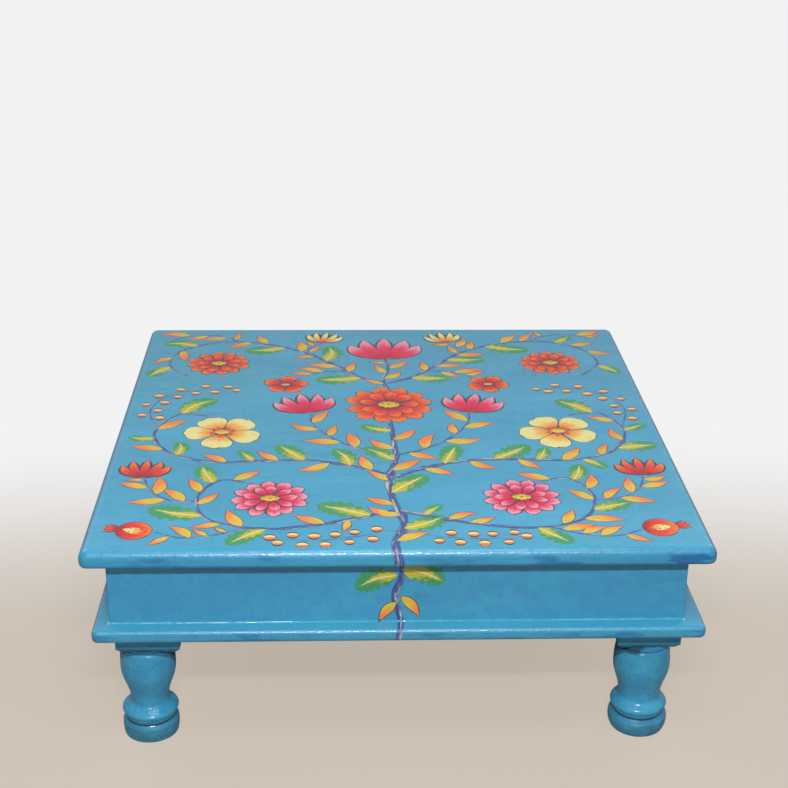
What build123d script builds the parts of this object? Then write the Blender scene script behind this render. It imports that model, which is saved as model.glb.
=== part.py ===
from build123d import *
import os

# Low square table with a box apron, a lower moulding frame and four turned legs.
# Millimetres. The origin is on the floor under the middle of the table, the front is -Y, +Z is up.

# Top board, edge-glued from planks that run from side to side
top_side = 610.0
top_thickness = 19.0
top_corner_radius = 8.0
top_upper_round = 9.5
top_lower_round = 5.0
plank_count = 4
dowel_radius = 4.0
dowel_length = 40.0
dowel_end_gap = 1.0
dowel_inset = 105.0
dowels_per_joint = 3

# Battens that run from front to back under the planks
batten_width = 45.0
batten_thickness = 18.0
batten_block_gap = 40.5
batten_end_gap = 1.0
batten_screw_bite = 12.0

# Apron, a box of four rails
top_overhang = 22.0
apron_height = 72.0
rail_thickness = 18.0
rail_lap = 9.0
rail_edge_round = 1.5
pin_radius = 0.9
pin_length = 30.0
pin_set_depth = 1.5
pins_per_corner = 3
pin_inset = 11.5

# Glue blocks in the apron corners
block_leg = 52.0
block_height = 40.0
block_screw_bite = 12.0
block_screw_inset = 17.0

# Moulding, a mitred frame that stands out past the apron and sits a little off its middle
moulding_projection = 18.0
moulding_width = 92.0
moulding_thickness = 13.7
moulding_shift_right = 2.1
moulding_shift_back = 1.5
moulding_corner_radius = 6.0
moulding_upper_round = 4.5
moulding_lower_round = 5.0
spline_width = 24.0
spline_thickness = 3.0
spline_inset = 9.5
moulding_screw_bite = 23.0
moulding_screw_inset = 143.0
screws_per_rail = 3

# Pads between the moulding and the legs
pad_side = 63.4
pad_thickness = 23.7
pad_setback = 19.6
pad_bevel_across = 5.5
pad_bevel_up = 8.0
pad_screw_bite = 10.0
pad_screw_margin = 1.9

# Turned legs: the foot, ball and waist keep their height and the vase takes up the rest
leg_height = 105.6
leg_inset = 31.0
foot_base_radius = 27.5
foot_radius = 28.5
foot_swell_height = 8.5
foot_edge_radius = 28.3
foot_edge_height = 14.5
foot_neck_radius = 24.8
foot_height = 19.2
foot_edge_rise = 0.6
lower_groove_radius = 24.2
lower_groove_height = 1.7
band_low_radius = 26.2
band_high_radius = 27.9
band_height = 6.2
ball_radius = 28.5
ball_rise = 0.8
waist_radius = 19.5
waist_rise = 10.8
waist_height = 2.0
vase_radius = 27.9
vase_depth = 27.4
shoulder_radius = 27.1
shoulder_rise = 4.0
rim_lean = 0.3
rim_radius = 24.9
upper_groove_radius = 23.8
upper_groove_height = 2.0
collar_radius = 25.9
collar_height = 1.2
curve_pull = 0.38
fuller_foot = 1.6
fuller_ball = 0.4
fuller_waist = 2.1
fuller_vase = 0.9
fuller_drop = 2.5
fuller_collar = 3.4
tenon_radius = 11.0
tenon_clearance = 0.1
kerf_depth = 18.0
wedge_top = 3.0
wedge_tip = 1.0
wedge_side_gap = 0.3

# Wood screws
screw_radius = 2.0
screw_head_radius = 3.6
screw_head_height = 2.4
screw_point = 5.0

# Levels and half widths that follow from them
moulding_bottom = leg_height + pad_thickness
apron_bottom = moulding_bottom + moulding_thickness
top_bottom = apron_bottom + apron_height
plank_width = top_side / plank_count
apron_half = top_side / 2 - top_overhang
apron_inner = apron_half - rail_thickness
rail_middle = apron_half - rail_thickness / 2
batten_place = apron_inner - block_leg - batten_block_gap - batten_width / 2
moulding_half = apron_half + moulding_projection
moulding_inner = moulding_half - moulding_width
pad_centre = moulding_half - pad_setback - pad_side / 2
leg_centre = apron_half - leg_inset
tenon_length = pad_thickness + moulding_thickness
tenon_hole_radius = tenon_radius + tenon_clearance
spline_start = moulding_inner * 2**0.5 + spline_inset
spline_length = leg_centre * 2**0.5 - tenon_hole_radius - spline_inset - spline_start

corners = {"front_left": (-1, -1), "front_right": (1, -1), "back_left": (-1, 1), "back_right": (1, 1)}
sides = {"front": 0, "right": 90, "back": 180, "left": 270}

# How much fuller each leg came off the lathe than the slimmest one, which is 0
fullness = {"front_left": 0.0, "front_right": 1.0, "back_left": 0.4, "back_right": 0.6}


def spaced(count, pitch):
    """Places of a row of equal steps about zero."""
    return [(i - (count - 1) / 2) * pitch for i in range(count)]


def block(low, high):
    """A box from its lowest to its highest corner."""
    size = [b - a for a, b in zip(low, high)]
    return Pos(*low) * Box(*size, align=(Align.MIN, Align.MIN, Align.MIN))


def moulding_place():
    """The middle of the moulding frame."""
    return Pos(moulding_shift_right, moulding_shift_back, 0)


def pad_place(sx, sy):
    """The middle of the pad in one corner of the moulding frame."""
    return moulding_place() * Pos(sx * pad_centre, sy * pad_centre, 0)


def leg_place(sx, sy):
    """The axis of the leg in one corner."""
    return Pos(sx * leg_centre, sy * leg_centre, 0)


def screw(length):
    """A countersunk wood screw that points up, with its head's face at z = 0."""
    outline = Polyline(
        (0, 0),
        (screw_head_radius, 0),
        (screw_radius, screw_head_height),
        (screw_radius, length - screw_point),
        (0, length),
        (0, 0),
    )
    return revolve(Plane.XZ * make_face(outline), Axis.Z)


def rounded_board(side, thickness, corner_radius, upper_round, lower_round):
    """A square board on z = 0 with rounded corners and rounded upper and lower edges."""
    board = extrude(RectangleRounded(side, side, corner_radius), thickness)
    board = fillet(board.faces().sort_by(Axis.Z)[-1].edges(), upper_round)
    return fillet(board.faces().sort_by(Axis.Z)[0].edges(), lower_round)


def make_dowels(extra):
    """The dowels across the plank joints, or their holes where extra is the gap at each end."""
    peg = Rot(X=90) * Cylinder(dowel_radius, dowel_length + 2 * extra)
    level = top_bottom + top_thickness / 2
    joints = spaced(plank_count - 1, plank_width)
    pitch = (top_side - 2 * dowel_inset) / (dowels_per_joint - 1)
    return [Pos(x, y, level) * peg for y in joints for x in spaced(dowels_per_joint, pitch)]


def make_batten_screws():
    """One screw for each plank in each batten, up through the batten into the plank."""
    z = top_bottom - batten_thickness
    rows = (-batten_place, batten_place)
    places = [(x, y, z) for x in rows for y in spaced(plank_count, plank_width)]
    return [Pos(*place) * screw(batten_thickness + batten_screw_bite) for place in places]


def make_block_screws():
    """One screw up through each glue block into the top."""
    reach = apron_inner - block_screw_inset
    z = top_bottom - block_height
    one = screw(block_height + block_screw_bite)
    return [Pos(sx * reach, sy * reach, z) * one for sx, sy in corners.values()]


def make_moulding_screws():
    """Screws up through the moulding into the middle of each apron rail."""
    one = screw(moulding_thickness + moulding_screw_bite)
    pitch = 2 * (apron_half - moulding_screw_inset) / (screws_per_rail - 1)
    front = [Pos(x, -rail_middle, moulding_bottom) * one for x in spaced(screws_per_rail, pitch)]
    return [Rot(Z=turn) * placed for turn in sides.values() for placed in front]


def make_pad_screws():
    """Two screws up through each pad, one into each of the two members that meet over it."""
    one = screw(pad_thickness + pad_screw_bite)
    offset = pad_side / 2 - pad_bevel_across - screw_head_radius - pad_screw_margin
    return [
        pad_place(sx, sy) * Pos(sx * shift, -sy * shift, leg_height) * one
        for sx, sy in corners.values()
        for shift in (offset, -offset)
    ]


def make_pins():
    """Panel pins through the front and back rails into the ends of the side rails."""
    pin = Rot(X=90) * Cylinder(pin_radius, pin_length)
    reach = apron_half - pin_set_depth - pin_length / 2
    level = apron_bottom + apron_height / 2
    pitch = (apron_height - 2 * pin_inset) / (pins_per_corner - 1)
    return [
        Pos(sx * rail_middle, sy * reach, level + z) * pin
        for sx, sy in corners.values()
        for z in spaced(pins_per_corner, pitch)
    ]


def make_splines():
    """A flat slip of wood across each mitre, between its inner end and the tenon."""
    slip = Box(spline_length, spline_width, spline_thickness)
    reach = spline_start + spline_length / 2
    level = moulding_bottom + moulding_thickness / 2
    places = [Rot(Z=turn - 45) * Pos(reach, 0, level) for turn in sides.values()]
    return [moulding_place() * place * slip for place in places]


def make_planks():
    """The top board sawn into its planks, with the holes for dowels and screws."""
    board = rounded_board(
        top_side, top_thickness, top_corner_radius, top_upper_round, top_lower_round
    )
    board = Pos(0, 0, top_bottom) * board
    holes = make_dowels(dowel_end_gap) + make_batten_screws() + make_block_screws()
    reach = top_side / 2
    planks = []
    for y in spaced(plank_count, plank_width):
        low = (-reach, y - plank_width / 2, top_bottom)
        high = (reach, y + plank_width / 2, top_bottom + top_thickness)
        planks.append((board & block(low, high)) - holes)
    return planks


def make_batten(x):
    """A batten under the planks, across their grain."""
    reach = apron_inner - batten_end_gap
    low = (x - batten_width / 2, -reach, top_bottom - batten_thickness)
    high = (x + batten_width / 2, reach, top_bottom)
    return block(low, high) - make_batten_screws()


def make_long_rail():
    """The front apron rail, rebated at each end for the side rails."""
    rail = block((-apron_half, -apron_half, apron_bottom), (apron_half, -apron_inner, top_bottom))
    corner_edges = rail.edges().filter_by(Axis.Z).group_by(Axis.Y)[0]
    rail = fillet(corner_edges, rail_edge_round)
    for sx in (-1, 1):
        rebate = Box(rail_thickness, rail_thickness - rail_lap, apron_height)
        y = -apron_inner - (rail_thickness - rail_lap) / 2
        rail -= Pos(sx * rail_middle, y, apron_bottom + apron_height / 2) * rebate
    return rail - make_pins() - make_moulding_screws()


def make_side_rail():
    """The left apron rail, which ends in the rebates of the front and back rails."""
    reach = apron_half - rail_lap
    rail = block((-apron_half, -reach, apron_bottom), (-apron_inner, reach, top_bottom))
    return rail - make_pins() - make_moulding_screws()


def make_corner_block():
    """The three-cornered glue block of the front left corner, tight under the top."""
    outline = Polyline((0, 0), (block_leg, 0), (0, block_leg), (0, 0))
    prism = extrude(make_face(outline), block_height)
    return Pos(-apron_inner, -apron_inner, top_bottom - block_height) * prism - make_block_screws()


def make_moulding(turn):
    """One member of the mitred moulding frame, turned from the front to its own side."""
    board = rounded_board(
        2 * moulding_half,
        moulding_thickness,
        moulding_corner_radius,
        moulding_upper_round,
        moulding_lower_round,
    )
    opening = Box(2 * moulding_inner, 2 * moulding_inner, 3 * moulding_thickness)
    reach = moulding_half + moulding_projection
    quarter = make_face(Polyline((0, 0), (-reach, -reach), (reach, -reach), (0, 0)))
    member = (board - opening) & extrude(quarter, moulding_thickness)
    member = moulding_place() * Pos(0, 0, moulding_bottom) * Rot(Z=turn) * member
    return member - make_splines() - make_moulding_screws() - make_pad_screws() - make_tenon_holes()


def make_tenon_holes():
    """The round holes through the pads and the moulding for the tenons of the legs."""
    hole = Cylinder(tenon_hole_radius, tenon_length)
    z = leg_height + tenon_length / 2
    return [leg_place(sx, sy) * Pos(0, 0, z) * hole for sx, sy in corners.values()]


def make_pad(sx, sy):
    """A square pad with a bevel round its lower edge."""
    pad = extrude(Rectangle(pad_side, pad_side), pad_thickness)
    foot = pad.faces().sort_by(Axis.Z)[0]
    pad = chamfer(foot.edges(), pad_bevel_up, pad_bevel_across, reference=foot)
    pad = pad_place(sx, sy) * Pos(0, 0, leg_height) * pad
    return pad - make_tenon_holes() - make_pad_screws()


def sweep_curve(start, end):
    """A turned curve that leaves and arrives upright, between a hollow and a swell."""
    pull = curve_pull * (end[1] - start[1])
    return Bezier(start, (start[0], start[1] + pull), (end[0], end[1] - pull), end)


def leg_outline(full):
    """Half of a leg's turned outline, as radius and height, from the foot up to the tenon."""
    foot_swell = foot_radius + fuller_foot * full
    foot_edge = foot_edge_radius + fuller_foot * full
    ball_swell = ball_radius + fuller_ball * full
    hollow_radius = waist_radius + fuller_waist * full
    vase_swell = vase_radius + fuller_vase * full
    band_bottom = foot_height + lower_groove_height
    band_top = band_bottom + band_height
    ball_middle = band_top + ball_rise
    waist_bottom = ball_middle + waist_rise
    waist_top = waist_bottom + waist_height
    collar_bottom = leg_height - collar_height - fuller_collar * full
    rim_height = collar_bottom - upper_groove_height
    vase_middle = leg_height - vase_depth - fuller_drop * full
    foot_side = ThreePointArc(
        (foot_base_radius, 0), (foot_swell, foot_swell_height), (foot_edge, foot_edge_height)
    )
    shoulder_middle = (foot_edge_height + foot_height) / 2 + foot_edge_rise
    foot_shoulder = Bezier(
        (foot_edge, foot_edge_height),
        ((foot_edge + foot_neck_radius) / 2, shoulder_middle),
        (foot_neck_radius, foot_height),
    )
    lower_groove_and_band = Polyline(
        (foot_neck_radius, foot_height),
        (lower_groove_radius, foot_height + lower_groove_height / 2),
        (band_low_radius, band_bottom),
        (band_high_radius, band_top),
    )
    ball = Bezier(
        (band_high_radius, band_top),
        (ball_swell, band_top + ball_rise / 3),
        (ball_swell, ball_middle),
    )
    hollow = sweep_curve((ball_swell, ball_middle), (hollow_radius, waist_bottom))
    waist = Line((hollow_radius, waist_bottom), (hollow_radius, waist_top))
    vase = sweep_curve((hollow_radius, waist_top), (vase_swell, vase_middle))
    shoulder = Bezier(
        (vase_swell, vase_middle),
        (vase_swell, (vase_middle + rim_height) / 2),
        (shoulder_radius, rim_height - shoulder_rise),
    )
    rim = Bezier(
        (shoulder_radius, rim_height - shoulder_rise),
        (shoulder_radius - rim_lean, rim_height - shoulder_rise / 4),
        (rim_radius, rim_height),
    )
    collar_and_tenon = Polyline(
        (rim_radius, rim_height),
        (upper_groove_radius, rim_height + upper_groove_height / 2),
        (collar_radius, collar_bottom),
        (collar_radius, leg_height),
        (tenon_radius, leg_height),
        (tenon_radius, leg_height + tenon_length),
        (0, leg_height + tenon_length),
        (0, 0),
        (foot_base_radius, 0),
    )
    lower_part = foot_side + foot_shoulder + lower_groove_and_band + ball + hollow
    return lower_part + waist + vase + shoulder + rim + collar_and_tenon


def make_wedge(width):
    """A tapered wedge, or its kerf, with its top at the top of the tenon."""
    outline = Polyline(
        (-wedge_top / 2, 0),
        (wedge_top / 2, 0),
        (wedge_tip / 2, -kerf_depth),
        (-wedge_tip / 2, -kerf_depth),
        (-wedge_top / 2, 0),
    )
    wedge = extrude(Plane.YZ * make_face(outline), width / 2, both=True)
    return Pos(0, 0, leg_height + tenon_length) * wedge


def make_leg(full):
    """A turned leg on the origin's axis, with its tenon and the kerf for the wedge."""
    turned = revolve(Plane.XZ * make_face(leg_outline(full)), Axis.Z)
    return turned - make_wedge(4 * tenon_radius)


def make_nodes():
    """Every node's name and shape."""
    nodes = {}
    for number, plank in enumerate(make_planks(), start=1):
        nodes[f"top_plank_{number}"] = plank
    nodes["top_dowels"] = Compound(make_dowels(0))
    nodes["batten_left"] = make_batten(-batten_place)
    nodes["batten_right"] = make_batten(batten_place)
    nodes["batten_screws"] = Compound(make_batten_screws())

    long_rail = make_long_rail()
    side_rail = make_side_rail()
    nodes["apron_front"] = long_rail
    nodes["apron_back"] = Rot(Z=180) * long_rail
    nodes["apron_left"] = side_rail
    nodes["apron_right"] = Rot(Z=180) * side_rail
    nodes["apron_pins"] = Compound(make_pins())

    corner_block = make_corner_block()
    for name, turn in (("front_left", 0), ("front_right", 90), ("back_right", 180), ("back_left", 270)):
        nodes[f"corner_block_{name}"] = Rot(Z=turn) * corner_block
    nodes["corner_block_screws"] = Compound(make_block_screws())

    for name, turn in sides.items():
        nodes[f"moulding_{name}"] = make_moulding(turn)
    nodes["mitre_splines"] = Compound(make_splines())
    nodes["moulding_screws"] = Compound(make_moulding_screws())

    wedge = make_wedge(2 * (tenon_radius - wedge_side_gap))
    for name, (sx, sy) in corners.items():
        nodes[f"pad_{name}"] = make_pad(sx, sy)
        nodes[f"leg_{name}"] = leg_place(sx, sy) * make_leg(fullness[name])
    nodes["pad_screws"] = Compound(make_pad_screws())
    nodes["leg_wedges"] = Compound([leg_place(sx, sy) * wedge for sx, sy in corners.values()])
    return nodes


os.makedirs("parts", exist_ok=True)
for node_name, shape in make_nodes().items():
    export_step(shape, f"parts/{node_name}.step")
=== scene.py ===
"""A painted bajot: its finishes, the flowers painted on it, and the stage it stands on."""

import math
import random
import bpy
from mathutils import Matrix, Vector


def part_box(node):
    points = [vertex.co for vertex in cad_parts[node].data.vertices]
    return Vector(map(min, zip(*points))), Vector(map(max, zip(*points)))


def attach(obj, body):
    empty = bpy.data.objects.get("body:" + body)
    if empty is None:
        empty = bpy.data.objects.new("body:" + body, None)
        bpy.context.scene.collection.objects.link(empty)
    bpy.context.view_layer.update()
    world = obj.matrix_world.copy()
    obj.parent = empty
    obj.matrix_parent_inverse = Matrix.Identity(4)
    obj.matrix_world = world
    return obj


bl_info = {
    "name": "Painted Bajot",
    "version": (1, 0, 0),
    "blender": (4, 5, 0),
    "location": "3D View > Sidebar > Bajot",
    "description": "Paints a low table of raw wood with a blue ground, a flowering tree and a gloss varnish",
    "category": "Object",
}

import bpy
from mathutils import Euler, Vector

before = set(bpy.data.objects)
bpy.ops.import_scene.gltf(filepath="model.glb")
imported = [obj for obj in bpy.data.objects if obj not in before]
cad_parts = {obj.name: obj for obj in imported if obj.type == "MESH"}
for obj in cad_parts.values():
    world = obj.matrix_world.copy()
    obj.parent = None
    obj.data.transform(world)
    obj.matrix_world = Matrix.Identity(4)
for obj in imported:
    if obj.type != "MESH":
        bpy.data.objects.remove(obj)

MM = 0.001


def span(*starts):
    """The lowest and highest corners round every CAD node whose name starts with one of these."""
    boxes = [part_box(name) for name in sorted(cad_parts) if name.startswith(starts)]
    lowest = Vector(min(low[axis] for low, _ in boxes) for axis in range(3))
    highest = Vector(max(high[axis] for _, high in boxes) for axis in range(3))
    return lowest, highest


# The table's own sizes, in metres. The outer ones are read from the CAD nodes in model.glb, and the rest are
# those of its solids.
TOP_LOW, TOP_HIGH = span("top_plank")
TOP_HALF = TOP_HIGH.x
TOP_UPPER_ROUND = 9.5 * MM
TOP_LOWER_ROUND = 5 * MM
APRON_HALF = span("apron_front", "apron_back", "apron_left", "apron_right")[1].x
RAIL_THICKNESS = 18 * MM
MOULDING_LOW, MOULDING_HIGH = span("moulding_front", "moulding_back", "moulding_left", "moulding_right")
FRAME_MIDDLE = (MOULDING_LOW + MOULDING_HIGH) / 2
MOULDING_HALF = MOULDING_HIGH.x - FRAME_MIDDLE.x
MOULDING_UPPER_ROUND = 4.5 * MM
MOULDING_LOWER_ROUND = 5 * MM
PAD_FOOT = span("pad_front", "pad_back")[0].z
LEG_AXIS = 252 * MM
VASE_RADIUS = 26.5 * MM
COLLAR_BOTTOM = 104.4 * MM
COLLAR_DROP = 3.4 * MM
FOOT_GROOVE = 20 * MM
GROOVE_RADIUS = 25 * MM

# The sizes of what is added to the solids.
BEAD_RADIUS = 1.5 * MM
PAD_BEVEL_UP = 5.5 * MM
PAD_BEVEL_ACROSS = 4.6 * MM


# ---- Settings that a user would change ----


def paint_colour(name, description, colour):
    """A colour setting, in linear red, green and blue."""
    return bpy.props.FloatVectorProperty(
        name=name, description=description, default=colour, subtype="COLOR", size=3, min=0.0, max=1.0
    )


def length(name, description, metres):
    """A length setting."""
    return bpy.props.FloatProperty(
        name=name, description=description, default=metres, min=0.0, unit="LENGTH", precision=4
    )


def share(name, description, value):
    """A setting from 0 to 1."""
    return bpy.props.FloatProperty(
        name=name, description=description, default=value, min=0.0, max=1.0, subtype="FACTOR"
    )


class BajotGround(bpy.types.PropertyGroup):
    """The blue ground under the flowers."""

    sky: paint_colour("Sky blue", "Main colour of the ground", (0.036, 0.338, 0.578))
    sea: paint_colour("Sea green", "Where the brush left more green", (0.052, 0.346, 0.500))
    deep: paint_colour("Deep blue", "Streaks where the undercoat shows", (0.025, 0.190, 0.420))
    milk: paint_colour("Milky blue", "Where the top coat lies thickest", (0.070, 0.402, 0.632))
    smear: paint_colour("Smears", "Where a wet rag dragged dark paint along an edge", (0.010, 0.135, 0.345))
    indigo: paint_colour("Indigo", "Faint clouds in the blue of the apron", (0.040, 0.235, 0.500))
    grime: paint_colour("Grime", "What floors rub off on the feet", (0.055, 0.085, 0.080))
    # Dark colour of the turned grooves, where it is both sooty dirt and painted shade, and of the painted
    # shadow and shade under the pads and the stained patches.
    shade_and_soot: paint_colour("Soot", "What gathers in the turned grooves", (0.012, 0.030, 0.038))
    gloss: share("Gloss", "Roughness of the paint under the varnish", 0.36)
    varnish: share("Varnish", "Roughness of the varnish itself", 0.14)
    hair_width: length("Brush hair", "Distance between the marks of the brush's hairs", 1.1 * MM)


class BajotWood(bpy.types.PropertyGroup):
    """The bare wood inside and underneath."""

    pale: paint_colour("Pale wood", "Colour between the growth rings", (0.52, 0.335, 0.18))
    dark: paint_colour("Dark wood", "Colour of the growth rings", (0.33, 0.185, 0.085))
    ring_width: length("Ring width", "Distance between growth rings", 5.0 * MM)


class BajotMetal(bpy.types.PropertyGroup):
    """The zinc-plated screws and pins."""

    zinc: paint_colour("Zinc", "Colour of the plating", (0.56, 0.57, 0.58))


class BajotStage(bpy.types.PropertyGroup):
    """The floor, lamps and camera."""

    floor: paint_colour("Floor", "Colour of the floor", (0.64, 0.565, 0.485))
    lens: bpy.props.FloatProperty(
        name="Lens", description="Focal length on a 36 mm sensor, in millimetres", default=67.13, min=1.0
    )


SETTINGS = {
    "bajot_ground": BajotGround,
    "bajot_wood": BajotWood,
    "bajot_metal": BajotMetal,
    "bajot_stage": BajotStage,
}


# ---- Shader maths ----


def sum_of(operation, swapped=False):
    """A method that adds one maths node. Swapped puts the value itself last."""

    def method(self, other=0.0):
        inputs = {0: other, 1: self} if swapped else {0: self, 1: other}
        return self.finish.node("ShaderNodeMath", {"operation": operation}, inputs)

    return method


class Value:
    """An output socket that is used in sums like a number."""

    def __init__(self, finish, socket):
        self.finish, self.socket = finish, socket

    __add__ = __radd__ = sum_of("ADD")
    __sub__ = sum_of("SUBTRACT")
    __rsub__ = sum_of("SUBTRACT", swapped=True)
    __mul__ = __rmul__ = sum_of("MULTIPLY")
    __truediv__ = sum_of("DIVIDE")
    __pow__ = sum_of("POWER")
    __abs__ = sum_of("ABSOLUTE")
    sine = sum_of("SINE")
    # What is left after the last whole number, and the larger and the smaller of two.
    fract = sum_of("FRACT")
    above = sum_of("MAXIMUM")
    below = sum_of("MINIMUM")

    def ramp(self, low, high):
        """Rises smoothly from 0 at low to 1 at high. With low above high it falls."""
        inputs = {"Value": self, "From Min": low, "From Max": high}
        return self.finish.node("ShaderNodeMapRange", {"interpolation_type": "SMOOTHSTEP"}, inputs)


class Finish:
    """A material, and the nodes that make it."""

    MIX_FACTOR, MIX_A, MIX_B, MIX_RESULT = 0, 6, 7, 2

    def __init__(self, name):
        self.material = bpy.data.materials.new(name)
        self.material.use_nodes = True
        self.tree = self.material.node_tree
        self.shader = self.tree.nodes["Principled BSDF"]

    def feed(self, socket, value):
        """Sets a socket, or links it to a value."""
        if isinstance(value, Value):
            self.tree.links.new(value.socket, socket)
        elif socket.type == "RGBA":
            socket.default_value = (*value, 1.0)
        else:
            socket.default_value = value

    def node(self, kind, settings=None, inputs=None, output=0):
        """A node of any kind, with its settings made first and its sockets then set or linked."""
        node = self.tree.nodes.new(kind)
        for name, value in (settings or {}).items():
            if name == "stops":
                self.set_stops(node.color_ramp, value)
            else:
                setattr(node, name, value)
        for name, value in (inputs or {}).items():
            self.feed(node.inputs[name], value)
        return Value(self, node.outputs[output])

    @staticmethod
    def set_stops(ramp, stops):
        """Gives a colour ramp its stops, each a place and a colour."""
        while len(ramp.elements) < len(stops):
            ramp.elements.new(1.0)
        for element, (place, colour) in zip(ramp.elements, stops):
            element.position = place
            element.color = (*colour, 1.0)

    def place(self):
        """Where a point is on the table, in metres."""
        return self.node("ShaderNodeTexCoord", output="Object")

    def facing(self):
        """The way that the surface faces, as three values."""
        return self.split(self.node("ShaderNodeNewGeometry", output="True Normal"))

    def split(self, vector):
        """The three parts of a vector."""
        parts = self.node("ShaderNodeSeparateXYZ", None, {0: vector}).socket.node.outputs
        return [Value(self, part) for part in parts]

    def join(self, x, y, z):
        """A vector from three values."""
        return self.node("ShaderNodeCombineXYZ", None, {"X": x, "Y": y, "Z": z})

    def stretch(self, vector, scale, shift=(0.0, 0.0, 0.0)):
        """A vector scaled along each axis, then shifted."""
        settings = {"operation": "MULTIPLY_ADD"}
        return self.node("ShaderNodeVectorMath", settings, {0: vector, 1: scale, 2: shift})

    def noise(self, vector, scale=1.0, detail=2.0, roughness=0.5):
        """Smooth noise, mostly from 0.25 to 0.75."""
        inputs = {"Vector": vector, "Scale": scale, "Detail": detail, "Roughness": roughness}
        return self.node("ShaderNodeTexNoise", None, inputs)

    def mix(self, factor, first, second):
        """The first colour where the factor is 0, the second where it is 1."""
        settings = {"data_type": "RGBA", "clamp_factor": True}
        inputs = {self.MIX_FACTOR: factor, self.MIX_A: first, self.MIX_B: second}
        return self.node("ShaderNodeMix", settings, inputs, self.MIX_RESULT)

    def bump(self, height, metres, strength=1.0):
        """A normal that follows a height, given from 0 to 1 and that many metres tall."""
        inputs = {"Strength": strength, "Distance": metres, "Height": height}
        return self.node("ShaderNodeBump", None, inputs, "Normal")

    def surface(self, **sockets):
        """Sets or links the shader's own sockets. Base_Color means Base Color."""
        for name, value in sockets.items():
            self.feed(self.shader.inputs[name.replace("_", " ")], value)
        return self.material


# ---- Finishes ----


def bare_wood(finish, wood, place, along="x"):
    """Colour and bump height of planed wood whose grain runs along x, y or z."""
    squeeze = [0.06 if axis == along else 1.0 for axis in "xyz"]
    warped = finish.stretch(place, squeeze)
    wander = finish.noise(warped, 9.0)
    across = [part for part, axis in zip(finish.split(warped), "xyz") if axis != along]
    rings = ((sum(across) / wood.ring_width + wander * 16.0) * 2.2).sine()
    pores = finish.noise(finish.stretch(place, [part**1.2 for part in squeeze]), 900.0)
    dark = (rings * 0.5 + 0.5) * 0.55 + pores.ramp(0.55, 0.72) * 0.35 + wander * 0.3
    return finish.mix(dark.ramp(0.15, 1.05), wood.pale, wood.dark), dark


def outer_edge(x, y, middle, half):
    """Rises from 0 to 1 over the last few millimetres before the edge of a square board."""
    return abs(x - middle.x).above(abs(y - middle.y)).ramp(half - 7.5 * MM, half - 2.0 * MM)


def top_edge(x, y, z):
    """Where dark paint was rubbed on the top's edge, most of all to the right, and on its upright part."""
    worn = abs(x).ramp(40 * MM, 240 * MM) * 0.5 + x.ramp(150 * MM, 290 * MM) * 0.5 + 0.8
    outer = outer_edge(x, y, Vector(), TOP_HALF) * worn
    return outer, outer * (TOP_HIGH.z - z).ramp(4 * MM, 8.5 * MM)


def moulding_edge(x, y, z):
    """The same for the moulding."""
    outer = outer_edge(x, y, FRAME_MIDDLE, MOULDING_HALF)
    return outer, outer * (MOULDING_HIGH.z - z).ramp(2 * MM, 4.5 * MM)


def under_top(x, y, z, waver):
    """Above 0 on the underside of the top, within the apron, which no brush reached."""
    inside = (APRON_HALF + waver - abs(x)).below(APRON_HALF + waver - abs(y))
    return inside.below(TOP_LOW.z + 0.5 * MM - z)


def inside_apron(x, y, z, waver):
    """Above 0 on the inner faces of the apron."""
    inner = APRON_HALF - RAIL_THICKNESS + 1 * MM
    return (inner - abs(x)).below(inner - abs(y)) + waver * 0.02


def worn_and_shaded_leg(x, y, z, waver):
    """How far the foot is trodden, the two grooves, darkened with sooty dirt and painted shade, and the
    painted shadow and painted shade on the leg and pad, with a stained patch.
    """
    out = ((abs(x) - LEG_AXIS) ** 2.0 + (abs(y) - LEG_AXIS) ** 2.0) ** 0.5
    trodden = z.ramp(38 * MM, 6 * MM) * 0.58
    # Both grooves are darkened: painted shade and sooty dirt.
    in_groove = abs(z - FOOT_GROOVE).ramp(2.6 * MM, 1.6 * MM)
    lower_groove = out.ramp(GROOVE_RADIUS + 1.2 * MM, GROOVE_RADIUS) * in_groove
    # The collar sits lower on a fuller vase: the right legs are full, and the back ones are between.
    right, back = x.ramp(-MM, MM), y.ramp(-MM, MM)
    fullness = 0.5 + (right - 0.5) * (1.0 - back * 0.8)
    below_collar = COLLAR_BOTTOM - fullness * COLLAR_DROP - z
    upper_groove = abs(below_collar - 0.9 * MM).ramp(0.9 * MM, 0.4 * MM)
    # A painted shadow of the pad hangs down from the collar behind the front of the vase, and a stained
    # patch lies on the inside of the right legs.
    inward, behind = LEG_AXIS - abs(x), LEG_AXIS + VASE_RADIUS + y
    painted_pad_shadow = (z + waver * 0.4 + behind * 0.96).ramp(102.5 * MM, 105.5 * MM)
    painted_pad_shadow = painted_pad_shadow * y.ramp(8 * MM - LEG_AXIS, -2 * MM - LEG_AXIS)
    painted_pad_shadow = painted_pad_shadow * (1.0 - right * inward.ramp(6 * MM, 0.0)) * 0.75
    dragged = (inward + waver * 2.5).ramp(2 * MM, 10 * MM) * (z + waver).ramp(95 * MM, 96.5 * MM) * right
    on_pad = z.ramp(PAD_FOOT, PAD_FOOT + 0.05 * MM)
    # The lower part of each pad is painted darker: painted shade.
    shaded = on_pad * z.ramp(118 * MM, 111 * MM) * 0.62
    shade_and_stain = (painted_pad_shadow.above(dragged) * (1.0 - on_pad)).above(shaded)
    return trodden, lower_groove.above(upper_groove), shade_and_stain


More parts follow.
